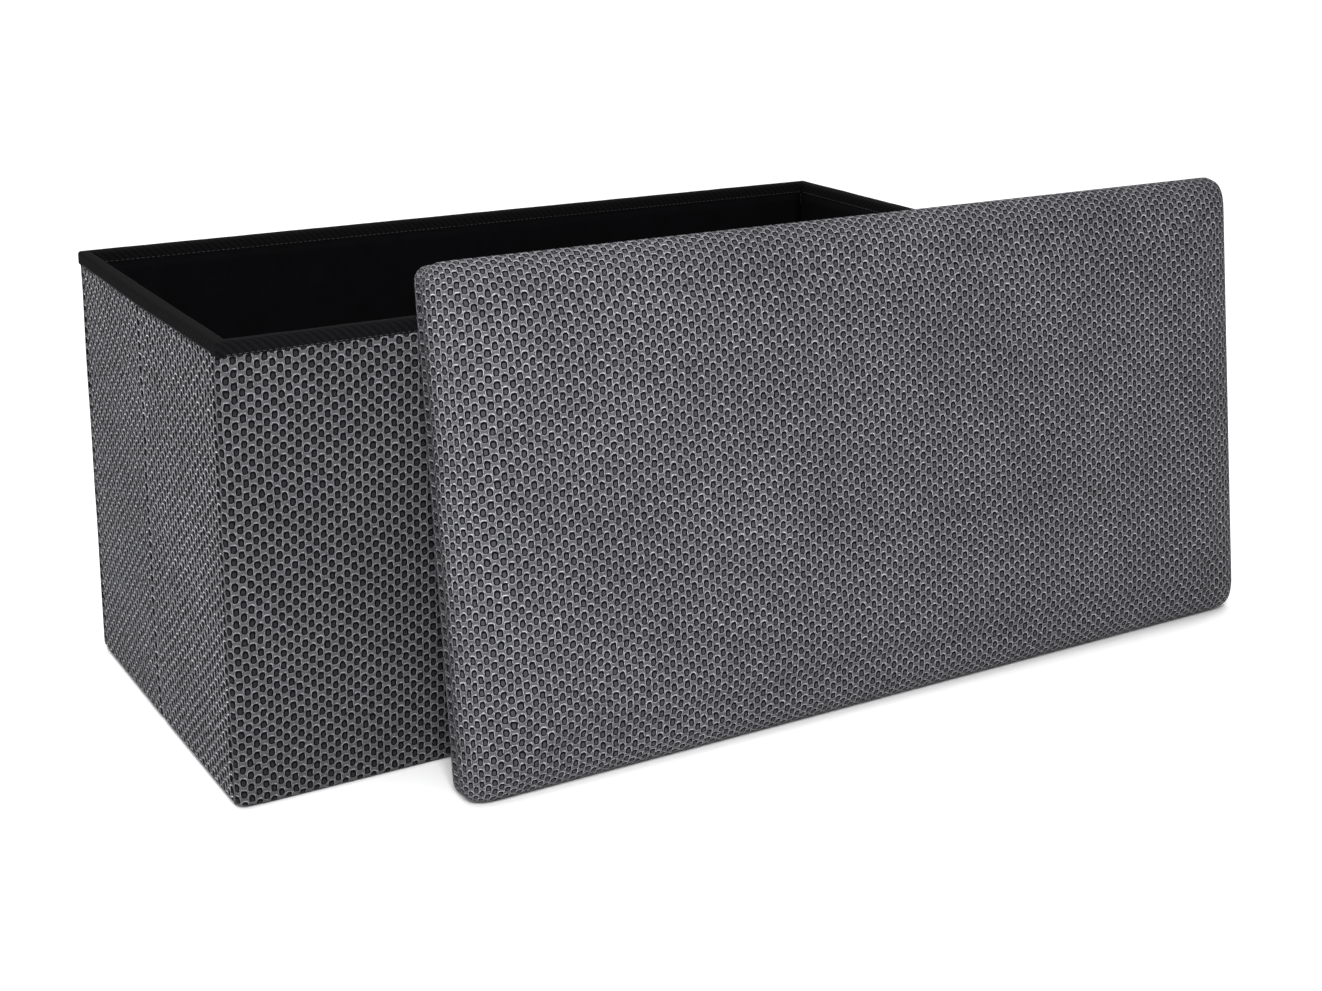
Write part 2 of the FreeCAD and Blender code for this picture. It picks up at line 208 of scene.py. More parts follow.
def nearest_oval(tree, flat, size, lift):
    """How far each point of the flat cloth is from the middle of its nearest oval, as 1 at the
    oval's edge. size is its width and height and lift moves it up, all in millimetres. The ovals
    stand in two interleaved lattices, which is a half-drop pattern."""
    cell = (2 * COLUMN_PITCH_MM * MM, ROW_PITCH_MM * MM, 1)
    stretch = (4 * COLUMN_PITCH_MM / size[0], 2 * ROW_PITCH_MM / size[1], 0)
    counted = add(tree, "ShaderNodeVectorMath", {0: flat, 1: cell}, operation="DIVIDE")
    reaches = []
    for across, up in ((0, 0), (0.5, 0.5)):
        offset = (across, up - lift / ROW_PITCH_MM, 0)
        moved = add(tree, "ShaderNodeVectorMath", {0: counted.outputs[0], 1: offset}, operation="ADD")
        whole = add(tree, "ShaderNodeVectorMath", {0: moved.outputs[0]}, operation="FRACTION")
        middle = add(tree, "ShaderNodeVectorMath", {0: whole.outputs[0], 1: (0.5, 0.5, 0)},
                     operation="SUBTRACT")
        scaled = add(tree, "ShaderNodeVectorMath", {0: middle.outputs[0], 1: stretch},
                     operation="MULTIPLY")
        squared = add(tree, "ShaderNodeVectorMath", {0: scaled.outputs[0], 1: scaled.outputs[0]},
                      operation="MULTIPLY")
        round_reach = add(tree, "ShaderNodeVectorMath", {0: scaled.outputs[0]}, operation="LENGTH")
        square_reach = add(tree, "ShaderNodeVectorMath", {0: squared.outputs[0]}, operation="LENGTH")
        rooted = add(tree, "ShaderNodeMath", {0: square_reach.outputs["Value"]}, operation="SQRT")
        reach = add(tree, "ShaderNodeMix",
                    {"Factor": SQUARENESS, "A": round_reach.outputs["Value"], "B": rooted.outputs[0]},
                    data_type="FLOAT")
        reaches.append(reach.outputs["Result"])
    return add(tree, "ShaderNodeMath", {0: reaches[0], 1: reaches[1]}, operation="MINIMUM").outputs[0]


def air_mesh(name, greys):
    """Polyester air mesh: a matt grey net raised round hollows whose edges are a near-black painted
    shade, a paler yarn over the top and sides of each hollow that also carries a painted highlight
    on its upper edge, and a tuft of the ground fabric in it. It reads as a fine staggered check.
    greys holds the colours of these four. The relief is under a millimetre, in the bump."""
    material, tree, surface = new_material(name)
    cloth = add(tree, "ShaderNodeUVMap", uv_map="weave")

    # Knitting is never quite even: a slow drift and a small jitter move the columns about.
    drift = add(tree, "ShaderNodeTexNoise", {"Vector": cloth.outputs[0], "Scale": 22.0, "Detail": 1.0})
    jitter = add(tree, "ShaderNodeTexNoise", {"Vector": cloth.outputs[0], "Scale": 210.0, "Detail": 1.0})
    flat = cloth.outputs[0]
    for source, reach in ((drift, DRIFT_MM * MM), (jitter, JITTER_MM * MM)):
        centred = add(tree, "ShaderNodeVectorMath", {0: source.outputs["Color"], 1: (0.5, 0.5, 0.5)},
                      operation="SUBTRACT")
        scaled = add(tree, "ShaderNodeVectorMath", {0: centred.outputs[0], 1: (reach, reach, 0)},
                     operation="MULTIPLY")
        flat = add(tree, "ShaderNodeVectorMath", {0: flat, 1: scaled.outputs[0]},
                   operation="ADD").outputs[0]
    hollow = nearest_oval(tree, flat, DIMPLE_MM, 0)
    tuft = nearest_oval(tree, flat, TUFT_MM, -TUFT_DROP_MM)
    yarn_and_highlight = nearest_oval(tree, flat, YARN_MM, YARN_HIGHLIGHT_LIFT_MM)

    # Each share runs from 0 to 1: on the net, on the bright yarn beside a hollow (a paler yarn with a
    #     # painted highlight), and on the tuft.
    on_net = add(tree, "ShaderNodeMapRange",
                 {"Value": hollow, "From Min": NET_EDGE[0], "From Max": NET_EDGE[1]},
                 interpolation_type="SMOOTHSTEP")
    on_yarn_and_highlight = add(tree, "ShaderNodeMapRange",
                  {"Value": yarn_and_highlight, "From Min": YARN_EDGE[0], "From Max": YARN_EDGE[1]},
                  interpolation_type="SMOOTHSTEP")
    on_tuft = add(tree, "ShaderNodeMapRange",
                  {"Value": tuft, "From Min": TUFT_EDGE[0], "From Max": TUFT_EDGE[1]},
                  interpolation_type="SMOOTHSTEP")
    uneven = add(tree, "ShaderNodeTexNoise", {"Vector": cloth.outputs[0], "Scale": 420.0, "Detail": 1.0})
    patchy = add(tree, "ShaderNodeMapRange",
                 {"Value": uneven.outputs[0], "From Min": 0.35, "From Max": 0.65})
    lit_yarn = add(tree, "ShaderNodeMath", {0: on_yarn_and_highlight.outputs[0], 1: patchy.outputs[0]},
                   operation="MULTIPLY")
    # In each hollow a near-black ring of painted shade fades to the tuft in the middle.
    hollow_shade_and_tuft = add(tree, "ShaderNodeMix",
                 {"Factor": on_tuft.outputs[0], "A": linear(greys["ring"]), "B": linear(greys["tuft"])},
                 data_type="RGBA")
    net = add(tree, "ShaderNodeMix",
              {"Factor": lit_yarn.outputs[0], "A": linear(greys["net"]), "B": linear(greys["yarn_and_highlight"])},
              data_type="RGBA")
    knit = add(tree, "ShaderNodeMix",
               {"Factor": on_net.outputs[0], "A": hollow_shade_and_tuft.outputs["Result"], "B": net.outputs["Result"]},
               data_type="RGBA")

    # Broad tone: the pile catches the light unevenly over the cloth, and each yarn a little too.
    broad = add(tree, "ShaderNodeTexNoise", {"Vector": cloth.outputs[0], "Scale": 9.0, "Detail": 3.0})
    fibre = add(tree, "ShaderNodeTexNoise", {"Vector": cloth.outputs[0], "Scale": 1400.0, "Detail": 2.0})
    broad_tone = add(tree, "ShaderNodeMapRange",
                     {"Value": broad.outputs[0], "From Min": 0.3, "From Max": 0.7,
                      "To Min": BROAD_TONE[0], "To Max": BROAD_TONE[1]})
    fibre_tone = add(tree, "ShaderNodeMapRange",
                     {"Value": fibre.outputs[0], "From Min": 0.3, "From Max": 0.7,
                      "To Min": FIBRE_TONE[0], "To Max": FIBRE_TONE[1]})
    tone = add(tree, "ShaderNodeMath", {0: broad_tone.outputs[0], 1: fibre_tone.outputs[0]},
               operation="MULTIPLY")
    shaded = add(tree, "ShaderNodeVectorMath",
                 {0: knit.outputs["Result"], "Scale": tone.outputs[0]}, operation="SCALE")
    tree.links.new(shaded.outputs[0], surface.inputs["Base Color"])

    tuft_height = add(tree, "ShaderNodeMath", {0: on_tuft.outputs[0], 1: TUFT_HEIGHT},
                      operation="MULTIPLY")
    height = add(tree, "ShaderNodeMath", {0: on_net.outputs[0], 1: tuft_height.outputs[0]},
                 operation="MAXIMUM")
    relief = add(tree, "ShaderNodeBump",
                 {"Strength": 0.8, "Distance": RELIEF_MM * MM, "Height": height.outputs[0]})
    fuzz = add(tree, "ShaderNodeBump",
               {"Strength": 0.4, "Distance": FUZZ_MM * MM, "Height": fibre.outputs[0],
                "Normal": relief.outputs[0]})
    tree.links.new(fuzz.outputs[0], surface.inputs["Normal"])
    surface.inputs["Roughness"].default_value = 0.9
    surface.inputs["Specular IOR Level"].default_value = 0.08
    return material


grey_mesh = air_mesh("polyester_air_mesh", WALL_GREYS)

# Along the end walls the knit shows black slits between bright yarns. Bump can't hide one yarn
# # behind the next, so the end walls have the same knit in colours of stronger contrast: a painted
# # shade that blackens the hollows and their tufts, and a painted highlight on the yarns.
END_LIT_AND_SHADED_GREYS = {"net": "464649", "yarn_and_highlight": "d4d4da", "ring": "000001", "tuft": "030304"}
end_wall_lit_and_shaded_mesh = air_mesh("end_wall_lit_and_shaded_air_mesh", END_LIT_AND_SHADED_GREYS)


ARC_TURNS = 7
SAME_PLACE = 1e-6


def rounded_path(points, radius, step):
    """Samples a polyline whose corners are right angles, rounded to a radius. Returns places,
    right-hand normals and lengths."""
    points = [np.array(p, float) for p in points]
    places, normals = [], []

    def straight(a, b):
        along = b - a
        count = max(1, int(round(np.linalg.norm(along) / step)))
        direction = along / np.linalg.norm(along)
        for k in range(count + 1):
            places.append(a + along * k / count)
            normals.append(np.array([direction[1], -direction[0]]))

    start = points[0]
    for before, corner, after in zip(points, points[1:], points[2:]):
        inward = (before - corner) / np.linalg.norm(before - corner)
        outward = (after - corner) / np.linalg.norm(after - corner)
        a, b = corner + inward * radius, corner + outward * radius
        straight(start, a)
        first, last = normals[-1], np.array([outward[1], -outward[0]])
        centre = a - first * radius if np.dot(first, outward) < 0 else a + first * radius
        side = -1 if np.dot(first, outward) < 0 else 1
        for k in range(1, ARC_TURNS):
            angle = k / ARC_TURNS * math.pi / 2
            blend = first * math.cos(angle) + last * math.sin(angle)
            places.append(centre - side * blend * radius)
            normals.append(blend)
        start = b
    straight(start, points[-1])
    kept = [0]
    for k in range(1, len(places)):
        if np.linalg.norm(places[k] - places[kept[-1]]) > SAME_PLACE:
            kept.append(k)
    places, normals = np.array(places)[kept], np.array(normals)[kept]
    steps = np.linalg.norm(np.diff(places, axis=0), axis=1)
    return places, normals, np.concatenate(([0], np.cumsum(steps)))


def settled(thing):
    """Applies the modifiers of an object to its mesh."""
    graph = bpy.context.evaluated_depsgraph_get()
    mesh = bpy.data.meshes.new_from_object(thing.evaluated_get(graph))
    thing.modifiers.clear()
    thing.data = mesh


def thicken(thing, thickness, side):
    """Gives a sheet its thickness. side is 0 for both ways and -1 for against its normals."""
    solid = thing.modifiers.new("thickness", "SOLIDIFY")
    solid.thickness = thickness * MM
    solid.offset = side
    settled(thing)


def grid_faces(columns, rows):
    """The faces of a grid whose points are stored row by row."""
    return [
        (r * columns + c, r * columns + c + 1, (r + 1) * columns + c + 1, (r + 1) * columns + c)
        for r in range(rows - 1) for c in range(columns - 1)
    ]


def new_piece(name, vertices, faces, material):
    """A smooth-shaded mesh object from points in millimetres."""
    mesh = bpy.data.meshes.new(name)
    mesh.from_pydata([tuple(v * MM for v in p) for p in vertices], [], faces)
    mesh.materials.append(material)
    for polygon in mesh.polygons:
        polygon.use_smooth = True
    thing = bpy.data.objects.new(name, mesh)
    scene.collection.objects.link(thing)
    return thing


def add_weave(mesh, u, v):
    """Stores flat cloth coordinates, in metres, for each vertex as the UV map called weave."""
    layer = mesh.uv_layers.new(name="weave")
    vertex = np.empty(len(mesh.loops), int)
    mesh.loops.foreach_get("vertex_index", vertex)
    pairs = np.stack([np.asarray(u)[vertex], np.asarray(v)[vertex]], axis=1) * MM
    layer.data.foreach_set("uv", pairs.ravel())


def panel_cloth(name, plan, profile, thickness, material, shape):
    """A sheet whose plan runs along a wall and whose profile runs up it, given some thickness and
    stretched over boards. shape takes places along the wall, depths and heights, and returns the
    last two moved. A profile's depth counts inwards."""
    places, normals, along = plan
    rise, _, up = profile
    columns, rows = len(places), len(rise)
    depth = np.repeat(rise[:, 0], columns)
    height = np.repeat(rise[:, 1], columns)
    x = np.tile(places[:, 0], rows)
    y = np.tile(places[:, 1], rows)
    depth, height = shape(x, y, depth, height)
    vertices = np.stack([
        x - np.tile(normals[:, 0], rows) * depth,
        y - np.tile(normals[:, 1], rows) * depth,
        height,
    ], axis=1)
    thing = new_piece(name, vertices, grid_faces(columns, rows), material)
    add_weave(thing.data, np.tile(along, rows), np.repeat(up, columns))
    thicken(thing, thickness, -1)
    return thing


box_low, box_high = (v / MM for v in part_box("front_cover"))
half_length = box_high.x
half_depth = -box_low.y
rim_low, rim_high = (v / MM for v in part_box("front_rim"))
top = rim_high.z
rim_foot = rim_low.z
wall = rim_high.y - rim_low.y
COVER_THICKNESS = 1.8
SEAM = 0.35
CORNER_RADIUS = 7.0
FOOT_RADIUS = 6.0
SOFT_CORNER = 26.0
TUCK = 2.0
HEM_SHORT = 0.4
FOOT_CLEARANCE = 0.2
CLOTH_STEP = 8.0
FINE_STEP = 3.0

inner_y = half_depth - wall
cover_profile = rounded_path(
    [(wall - HEM_SHORT, FOOT_CLEARANCE), (0, FOOT_CLEARANCE), (0, rim_foot + TUCK)],
    FOOT_RADIUS, CLOTH_STEP,
)
SEED_SHIFT = 7.3
RIPPLE_GAIN = 1.6


def ripple(x, y, z, size, seed):
    """A smooth random value of about -1 to 1 that changes over about size millimetres."""
    return np.array([
        noise.noise(Vector((a / size, b / size + seed * SEED_SHIFT, c / size))) * RIPPLE_GAIN
        for a, b, c in zip(x, y, z)
    ])


FOOT_HEIGHT = 8.0
FOOT_IN = 1.5
FOOT_UP = 2.5
WANDER_SIZE = 70.0
WANDER = 0.35
WANDER_FOOT = 30.0
WANDER_TOP = 20.0


def soften_foot(x, y, depth, height, seed):
    """Rounds the lower corners of the box and lets the cloth wander by a fraction of a millimetre."""
    from_corner = np.hypot(half_length - np.abs(x), half_depth - np.abs(y))
    near = np.clip(1 - from_corner / SOFT_CORNER, 0, 1) ** 2
    low = np.clip(1 - height / FOOT_HEIGHT, 0, 1) ** 2
    wave = ripple(x, y, height, WANDER_SIZE, seed) * WANDER
    wave *= np.clip(height / WANDER_FOOT, 0, 1) * np.clip((rim_foot - height) / WANDER_TOP, 0, 1)
    return depth + FOOT_IN * near * low - wave, height + FOOT_UP * near * low


def long_cover(name, side, body, seed):
    """The cover of the front wall, side -1, or of the rear wall, side 1."""
    end_y = side * (inner_y + SEAM)
    face_y = side * half_depth
    route = [(side * half_length, end_y), (side * half_length, face_y),
             (-side * half_length, face_y), (-side * half_length, end_y)]
    plan = rounded_path(route, CORNER_RADIUS, CLOTH_STEP)

    def shape(x, y, depth, height):
        return soften_foot(x, y, depth, height, seed)

    cloth = panel_cloth(f"{name}_mesh_cover", plan, cover_profile, COVER_THICKNESS, grey_mesh,
                        shape)
    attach(cloth, body)
    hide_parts(f"{name}_cover", f"{name}_hem")


long_cover("front", -1, "front_wall", 1)
long_cover("rear", 1, "rear_wall", 2)

# Along its middle line the cover of an end wall is creased, and it stands a little off the boards.
FOLD_BULGE = 2.2
BULGE_RISE = 40.0
BULGE_AT_FOOT = 0.2
FOLD_CREASE = 1.1
CREASE_WIDTH = 3.0
END_RADIUS = 2.5
END_WRAP = 7.3
ON_FACE = 0.01


def across_fold(piece):
    """Bakes the placement of a piece of an end wall into its mesh."""
    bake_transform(piece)


def end_cover(name, end, seed):
    """The cover of one end wall, across both of its halves."""
    end_y = inner_y - SEAM
    face_x = end * half_length
    back_x = end * (half_length - END_WRAP)
    turn = end * end_y
    route = [(back_x, -turn), (face_x, -turn), (face_x, turn), (back_x, turn)]
    plan = rounded_path(route, END_RADIUS, FINE_STEP)

    def shape(x, y, depth, height):
        depth, height = soften_foot(x, y, depth, height, seed)
        rise = np.clip(height / BULGE_RISE, BULGE_AT_FOOT, 1)
        bulge = FOLD_BULGE * (1 - np.abs(y) / end_y) * rise
        crease = FOLD_CREASE * np.exp(-(y / CREASE_WIDTH) ** 2)
        on_face = np.abs(x) > half_length - ON_FACE
        return depth - (bulge - crease) * on_face, height

    cloth = panel_cloth(f"{name}_mesh_cover", plan, cover_profile, COVER_THICKNESS, end_wall_lit_and_shaded_mesh,
                        shape)
    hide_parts(*[f"{name}_{half}_{layer}" for half in ("rear", "front")
                         for layer in ("cover", "hem")])
    across_fold(cloth)


end_cover("left", -1, 3)
end_cover("right", 1, 4)


# ---------------------------------------------------------------- boards
# The stiff board inside each wall, the base and the lid is fibreboard: pale brown, with fine
# pressed fibres and no grain direction. It shows only at an edge that the cloth leaves bare.

FIBREBOARD = "a08058"
FIBREBOARD_DARK = "866a45"
fibreboard, tree, surface = new_material("pressed_fibreboard")
where = add(tree, "ShaderNodeTexCoord")
flecks = add(tree, "ShaderNodeTexNoise",
             {"Vector": where.outputs["Object"], "Scale": 700.0, "Detail": 4.0})
brown = add(tree, "ShaderNodeMix",
            {"Factor": flecks.outputs[0], "A": linear(FIBREBOARD_DARK), "B": linear(FIBREBOARD)},
            data_type="RGBA")
tree.links.new(brown.outputs["Result"], surface.inputs["Base Color"])
pressed = add(tree, "ShaderNodeBump",
              {"Strength": 0.3, "Distance": 0.1 * MM, "Height": flecks.outputs[0]})
tree.links.new(pressed.outputs[0], surface.inputs["Normal"])
surface.inputs["Roughness"].default_value = 0.75


def repaint(node_name, material):
    """Gives a CAD node its finish."""
    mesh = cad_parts[node_name].data
    mesh.materials.clear()
    mesh.materials.append(material)


for wall_name in ("front", "rear", "left_rear", "left_front", "right_rear", "right_front"):
    repaint(f"{wall_name}_board", fibreboard)
repaint("base_board", fibreboard)
repaint("lid_board", fibreboard)


# ---------------------------------------------------------------- lining
# Black spunbond non-woven, glued to the inner face of each wall. It is pressed in a grid of
# tiny points and lies in faint puckers, so it reads as a dull black felt with a soft speckle.

LINING_BLACK = "050506"
LINING_WORN = "0b0b0d"
POINT_PITCH_MM = 2.4


def spunbond(name):
    """Black polypropylene non-woven with pressed points, drawn at 2.4 mm so that they show."""
    material, tree, surface = new_material(name)
    where = add(tree, "ShaderNodeTexCoord")
    blotch = add(tree, "ShaderNodeTexNoise",
                 {"Vector": where.outputs["Object"], "Scale": 60.0, "Detail": 5.0})
    black = add(tree, "ShaderNodeMix",
                {"Factor": blotch.outputs[0], "A": linear(LINING_BLACK), "B": linear(LINING_WORN)},
                data_type="RGBA")
    tree.links.new(black.outputs["Result"], surface.inputs["Base Color"])
    points = add(tree, "ShaderNodeTexVoronoi",
                 {"Vector": where.outputs["Object"], "Scale": 1 / (POINT_PITCH_MM * MM),
                  "Randomness": 0.12})
    pressed = add(tree, "ShaderNodeMapRange",
                  {"Value": points.outputs["Distance"], "From Min": 0.15, "From Max": 0.4})
    fibres = add(tree, "ShaderNodeTexNoise",
                 {"Vector": where.outputs["Object"], "Scale": 1500.0, "Detail": 3.0})
    dents = add(tree, "ShaderNodeBump",
                {"Strength": 0.5, "Distance": 0.25 * MM, "Height": pressed.outputs[0]})
    felt = add(tree, "ShaderNodeBump",
               {"Strength": 0.4, "Distance": 0.15 * MM, "Height": fibres.outputs[0],
                "Normal": dents.outputs[0]})
    tree.links.new(felt.outputs[0], surface.inputs["Normal"])
    surface.inputs["Roughness"].default_value = 0.95
    surface.inputs["Specular IOR Level"].default_value = 0.03
    return material


black_lining = spunbond("spunbond_non_woven")
LINING_THICKNESS = 0.9
LINING_STEP = 9.0
PUCKER_FOOT = 40.0
PUCKER_TOP = 30.0
SLOW_PUCKER = 0.5
SLOW_SIZE = 120.0
FINE_PUCKER = 0.22
FINE_SIZE = 26.0
FINE_SHORTEN = 2.2
FINE_LENGTHEN = 0.4
PUCKER_LIFT = 0.4
lining_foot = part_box("front_lining")[0].z / MM
lining_profile = rounded_path([(0, lining_foot), (0, rim_foot + TUCK)], 0, LINING_STEP)


def pucker(seed):
    """Faint wrinkles of a glued lining: broad ones and fine upright ones, which fade out at the
    foot and under the binding."""
    def shape(x, y, depth, height):
        middle = np.clip((height - lining_foot) / PUCKER_FOOT, 0, 1)
        middle *= np.clip((rim_foot - height) / PUCKER_TOP, 0, 1)
        slow = ripple(x, y, height, SLOW_SIZE, seed) * SLOW_PUCKER
        fine = ripple(x * FINE_SHORTEN, y * FINE_SHORTEN, height * FINE_LENGTHEN, FINE_SIZE,
                      seed + 3) * FINE_PUCKER
        return depth - (slow + fine + PUCKER_LIFT) * middle, height
    return shape


def long_lining(name, side, body, seed):
    """The lining of the front or rear wall, facing the inside of the box."""
    face_y = side * inner_y
    reach = half_length - wall
    plan = rounded_path([(-side * reach, face_y), (side * reach, face_y)], 0, LINING_STEP)
    lining = panel_cloth(f"{name}_wall_lining", plan, lining_profile, LINING_THICKNESS,
                         black_lining, pucker(seed))
    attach(lining, body)
    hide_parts(f"{name}_lining")


def end_lining(name, end, seed):
    """The lining of one end wall, across both halves."""
    face_x = end * (half_length - wall)
    reach = inner_y - SEAM
    plan = rounded_path([(face_x, end * reach), (face_x, -end * reach)], 0, FINE_STEP)
    lining = panel_cloth(f"{name}_wall_lining", plan, lining_profile, LINING_THICKNESS,
                         black_lining, pucker(seed))
    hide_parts(f"{name}_rear_lining", f"{name}_front_lining")
    across_fold(lining)


long_lining("front", -1, "front_wall", 5)
long_lining("rear", 1, "rear_wall", 6)
end_lining("left", -1, 7)
end_lining("right", 1, 8)


# ---------------------------------------------------------------- rim binding
# A folded black twill tape caps the top edge of every wall, over the cover outside and the lining
# inside, and is held by a row of lockstitch near each of its lower edges.

BINDING_BLACK = "0a0a0b"
BINDING_RIB = "161618"
RIB_PITCH_MM = 6.0


def twill_tape(name):
    """Polyester twill tape: diagonal ribs, dull black, a little paler along the ribs. They are
    drawn 6 mm apart along the tape, much coarser than real twill, so that they show. At scale 1
    a diagonal wave repeats each time x + y + z grows by a fifth of pi."""
    material, tree, surface = new_material(name)
    where = add(tree, "ShaderNodeTexCoord")
    ribs = add(tree, "ShaderNodeTexWave",
               {"Vector": where.outputs["Object"], "Scale": math.pi / 5 / (RIB_PITCH_MM * MM),
                "Distortion": 1.5, "Detail": 1.0, "Detail Scale": 30.0},
               wave_type="BANDS", bands_direction="DIAGONAL")
    threads = add(tree, "ShaderNodeTexNoise",
                  {"Vector": where.outputs["Object"], "Scale": 1200.0, "Detail": 2.0})
    mixed = add(tree, "ShaderNodeMath", {0: ribs.outputs["Fac"], 1: threads.outputs[0]},
                operation="MULTIPLY")
    black = add(tree, "ShaderNodeMix",
                {"Factor": mixed.outputs[0], "A": linear(BINDING_BLACK), "B": linear(BINDING_RIB)},
                data_type="RGBA")
    tree.links.new(black.outputs["Result"], surface.inputs["Base Color"])
    relief = add(tree, "ShaderNodeBump",
                 {"Strength": 0.5, "Distance": 0.25 * MM, "Height": mixed.outputs[0]})
    tree.links.new(relief.outputs[0], surface.inputs["Normal"])
    surface.inputs["Roughness"].default_value = 0.95
    surface.inputs["Specular IOR Level"].default_value = 0.03
    return material


black_tape = twill_tape("polyester_twill_tape")
THREAD_BLACK = "202022"
sewing_thread, tree, surface = new_material("polyester_sewing_thread")
where = add(tree, "ShaderNodeTexCoord")
ply = add(tree, "ShaderNodeTexNoise", {"Vector": where.outputs["Object"], "Scale": 2500.0})
twisted = add(tree, "ShaderNodeMix",
              {"Factor": ply.outputs[0], "A": linear(BINDING_BLACK), "B": linear(THREAD_BLACK)},
              data_type="RGBA")
tree.links.new(twisted.outputs["Result"], surface.inputs["Base Color"])
surface.inputs["Roughness"].default_value = 0.6

TAPE_PROUD = 0.45
TAPE_ROUND = 2.6
TAPE_BUTT = 3.5
STITCH_LENGTH = 3.1
STITCH_PITCH = 4.2
STITCH_RADIUS = 0.32
STITCH_RISE = 2.4
STITCH_SIDES = 6
STITCH_RINGS = [(-0.5, 0.35), (-0.3, 1.0), (0.3, 1.0), (0.5, 0.35)]
STITCH_DIP = 0.25
STITCH_MARGIN = 6
END_STITCH_MARGIN = 4
TAPE_STEP = 6.0
CORNER_CUTS = 4
SWAY_SIZE = 45.0
SWAY = 0.35
SWAY_SHARE = 0.4
SWELL_SIZE = 18.0
SWELL = 0.18
TAPE_SEED_SHIFT = 3.1
SWELL_PLANE = 5
INNER_BOW = 0.3


def tape_bar(name, start, end, low, high, radius, step, material, seed=0, bow=None):
    """A soft bar of folded tape along X or Y: a rounded section swept from start to end. low and
    high are the section's corners, across and up. The ends are rounded, unless bow is given: it
    returns how far the tape bows sideways at a place along it, and the ends are square."""
    along = 0 if abs(end[0] - start[0]) > abs(end[1] - start[1]) else 1
    first, last = sorted((start[along], end[along]))
    section = []
    for corner_x, corner_z, turn in ((1, 1, 0), (0, 1, 1), (0, 0, 2), (1, 0, 3)):
        centre = (
            high[0] - radius if corner_x else low[0] + radius,
            high[1] - radius if corner_z else low[1] + radius,
        )
        for k in range(CORNER_CUTS + 1):
            angle = (turn + k / CORNER_CUTS) * math.pi / 2
            section.append((centre, math.cos(angle), math.sin(angle)))
    count = int((last - first - 2 * radius) / step)
    stations = [(first + radius * (1 - math.cos(a)), radius * (1 - math.sin(a)))
                for a in np.linspace(0, math.pi / 2, CORNER_CUTS + 1)[:-1]]
    stations += [(first + radius + (last - first - 2 * radius) * k / count, 0)
                 for k in range(count + 1)]
    stations += [(first + last - place, inset) for place, inset in reversed(stations[:CORNER_CUTS])]
    if bow:
        stations = [(place, 0) for place in np.linspace(first, last, len(stations))]
    vertices, faces = [], []
    ring = len(section)
    for place, inset in stations:
        sway = noise.noise(Vector((place / SWAY_SIZE, seed * TAPE_SEED_SHIFT, 0))) * SWAY
        swell = noise.noise(Vector((place / SWELL_SIZE, seed * TAPE_SEED_SHIFT, SWELL_PLANE))) * SWELL
        for (across, up), cos, sin in section:
            reach = radius - inset + swell
            a, z = across + cos * reach, up + sin * reach
            a += bow(place, a) if bow else sway * SWAY_SHARE
            vertices.append((place, a, z) if along == 0 else (a, place, z))
    for s in range(len(stations) - 1):
        for k in range(ring):
            n = (k + 1) % ring
            quad = (s * ring + k, s * ring + n, (s + 1) * ring + n, (s + 1) * ring + k)
            faces.append(quad if along == 1 else quad[::-1])
    first_cap = tuple(range(ring))
    last_cap = tuple((len(stations) - 1) * ring + k for k in range(ring))
    if along == 1:
        first_cap = first_cap[::-1]
    else:
        last_cap = last_cap[::-1]
    faces += [first_cap, last_cap]
    return new_piece(name, vertices, faces, material)


def stitch_row(name, start, end, out, material):
    """A row of sunk lockstitches from start to end. out points away from the cloth."""
    start, end, out = (np.array(v, float) for v in (start, end, out))
    run = end - start
    length = np.linalg.norm(run)
    direction = run / length
    side = np.cross(direction, out)
    vertices, faces = [], []
    count = int(length / STITCH_PITCH)
    for s in range(count):
        middle = start + direction * (s + 0.5) * length / count
        base = len(vertices)
        for place, girth in STITCH_RINGS:
            dip = -STITCH_DIP * (girth < 1)
            for k in range(STITCH_SIDES):
                angle = k / STITCH_SIDES * 2 * math.pi
                point = middle + direction * place * STITCH_LENGTH + out * (
                    dip + math.sin(angle) * girth * STITCH_RADIUS
                ) + side * math.cos(angle) * girth * STITCH_RADIUS
                vertices.append(point)
        for r in range(len(STITCH_RINGS) - 1):
            near = base + r * STITCH_SIDES
            far = near + STITCH_SIDES
            for k in range(STITCH_SIDES):
                n = (k + 1) % STITCH_SIDES
                faces.append((near + k, near + n, far + n, far + k))
        faces.append(tuple(base + k for k in reversed(range(STITCH_SIDES))))
        faces.append(tuple(far + k for k in range(STITCH_SIDES)))
    return new_piece(name, vertices, faces, material)


stitch_z = rim_foot + STITCH_RISE
for name, side, body in (("front", -1, "front_wall"), ("rear", 1, "rear_wall")):
    outer, inner = side * (half_depth + TAPE_PROUD), side * (inner_y - TAPE_PROUD)
    low_y, high_y = sorted((outer, inner))
    reach = half_length + TAPE_PROUD
    rim = tape_bar(f"{name}_rim_binding", (-reach, 0), (reach, 0), (low_y, rim_foot),
                   (high_y, top), TAPE_ROUND, TAPE_STEP, black_tape, seed=side + 3)
    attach(rim, body)
    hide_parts(f"{name}_rim")
    for label, y, out in (("outer", outer, side), ("inner", inner, -side)):
        row = stitch_row(f"{name}_{label}_stitching", (-reach + STITCH_MARGIN, y, stitch_z),
                         (reach - STITCH_MARGIN, y, stitch_z), (0, out, 0), sewing_thread)
        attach(row, body)

